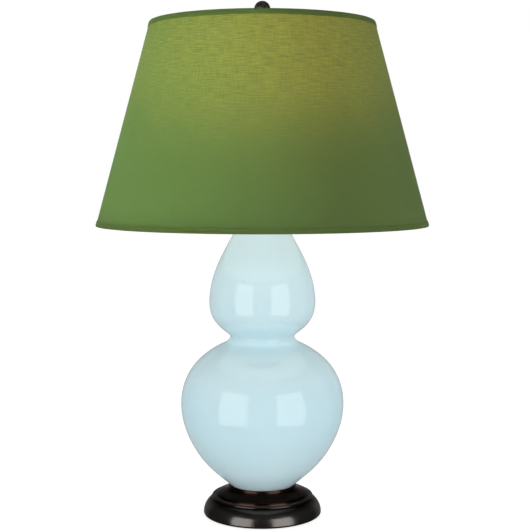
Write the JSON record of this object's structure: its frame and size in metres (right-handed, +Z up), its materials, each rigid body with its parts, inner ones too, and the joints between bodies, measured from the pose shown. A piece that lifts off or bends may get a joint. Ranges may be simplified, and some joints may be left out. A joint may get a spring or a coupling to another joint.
{
  "type": "table lamp",
  "caption": "Double gourd ceramic table lamp with a turned metal foot, a tapered fabric shade on a harp and spider, a ball finial and a turn knob switch.",
  "frame": {"origin": "centre of the felt that the lamp stands on, on the axis of the threaded rod", "axes": "+Z up along the rod, -Y towards the front where the switch knob is, +Y towards the cord inlet"},
  "size_m": [0.5056, 0.5056, 0.787],
  "materials": {
    "foot_bronze": "satin dark bronze",
    "finial_bronze": "satin dark bronze",
    "cap_bronze": "satin dark bronze",
    "glaze": "glossy pale blue glaze",
    "shade_fabric": "plain woven green fabric",
    "binding_fabric": "plain woven green fabric, folded",
    "shade_backing": "matt white",
    "ring_wire": "white coated wire",
    "spider_metal": "satin bronze",
    "harp_metal": "satin bronze",
    "brass": "satin",
    "zinc_steel": "zinc plated",
    "iron": "as cast, painted",
    "fibreboard": "hard fibreboard",
    "felt": "pressed felt",
    "gasket": "matt",
    "bushing_plastic": "moulded black",
    "phenolic": "moulded dark brown",
    "bulb_metal": "plated",
    "bulb_frost": "frosted white",
    "bulb_clear": "clear",
    "bulb_black_glass": "dark glass",
    "lead_wire": "drawn wire"
  },
  "bodies": {
    "lamp": {"felt_pad": "felt", "base_cover": "fibreboard", "base_foot": "foot_bronze", "base_weight": "iron", "cord_bushing": "bushing_plastic", "rod_washer": "zinc_steel", "rod_nut": "zinc_steel", "threaded_rod": "zinc_steel", "foot_gasket": "gasket", "gourd_lower": "glaze", "gourd_upper": "glaze", "neck_gasket": "gasket", "vase_cap": "cap_bronze", "neck_spacer": "cap_bronze", "harp_saddle": "harp_metal", "saddle_nut": "zinc_steel", "socket_cap": "brass", "socket_set_screw": "brass", "socket_shell": "brass", "socket_liner": "fibreboard", "socket_core": "phenolic", "terminal_screws": "brass", "screw_shell": "brass", "centre_contact": "brass"},
    "knob": {"knob_shaft": "zinc_steel", "switch_knob": "phenolic"},
    "bulb": {"bulb_cap": "bulb_metal", "bulb_insulator": "bulb_black_glass", "bulb_tip_contact": "bulb_metal", "bulb_glass": "bulb_frost", "bulb_stem": "bulb_clear", "bulb_lead_wires": "lead_wire", "bulb_filament": "lead_wire"},
    "harp": {"harp_bow": "harp_metal", "harp_stud": "harp_metal"},
    "left_ferrule": {"ferrule_left": "harp_metal"},
    "right_ferrule": {"ferrule_right": "harp_metal"},
    "shade_seat": {"shade_washer": "brass"},
    "shade": {"spider_hub": "spider_metal", "spider_arms": "spider_metal", "shade_top_ring": "ring_wire", "shade_bottom_ring": "ring_wire", "shade_cover": "shade_fabric", "shade_liner": "shade_backing", "shade_top_binding": "binding_fabric", "shade_bottom_binding": "binding_fabric"},
    "finial_ball": {"finial": "finial_bronze"}
  },
  "joints": [
    {"name": "knob_turn", "type": "hinge", "parent": "lamp", "child": "knob", "pos_m": [0, -0.03, 0.531], "axis": [0, -1, 0], "continuous": true},
    {"name": "bulb_unscrew", "type": "slide", "parent": "lamp", "child": "bulb", "axis": [0, 0, 1], "range_m": [0, 0.028]},
    {"name": "harp_lift", "type": "slide", "parent": "lamp", "child": "harp", "axis": [0, 0, 1], "range_m": [0, 0.03]},
    {"name": "ferrule_left_slide", "type": "slide", "parent": "harp", "child": "left_ferrule", "axis": [0, 0, 1], "range_m": [0, 0.014]},
    {"name": "ferrule_right_slide", "type": "slide", "parent": "harp", "child": "right_ferrule", "axis": [0, 0, 1], "range_m": [0, 0.014]},
    {"name": "shade_lift", "type": "slide", "parent": "harp", "child": "shade_seat", "axis": [0, 0, 1], "range_m": [0, 0.33]},
    {"name": "shade_swivel", "type": "hinge", "parent": "shade_seat", "child": "shade", "pos_m": [0, 0, 0.743], "axis": [0, 0, 1], "continuous": true},
    {"name": "finial_turn", "type": "hinge", "parent": "shade_seat", "child": "finial_ball", "pos_m": [0, 0, 0.7441], "axis": [0, 0, 1], "continuous": true}
  ]
}
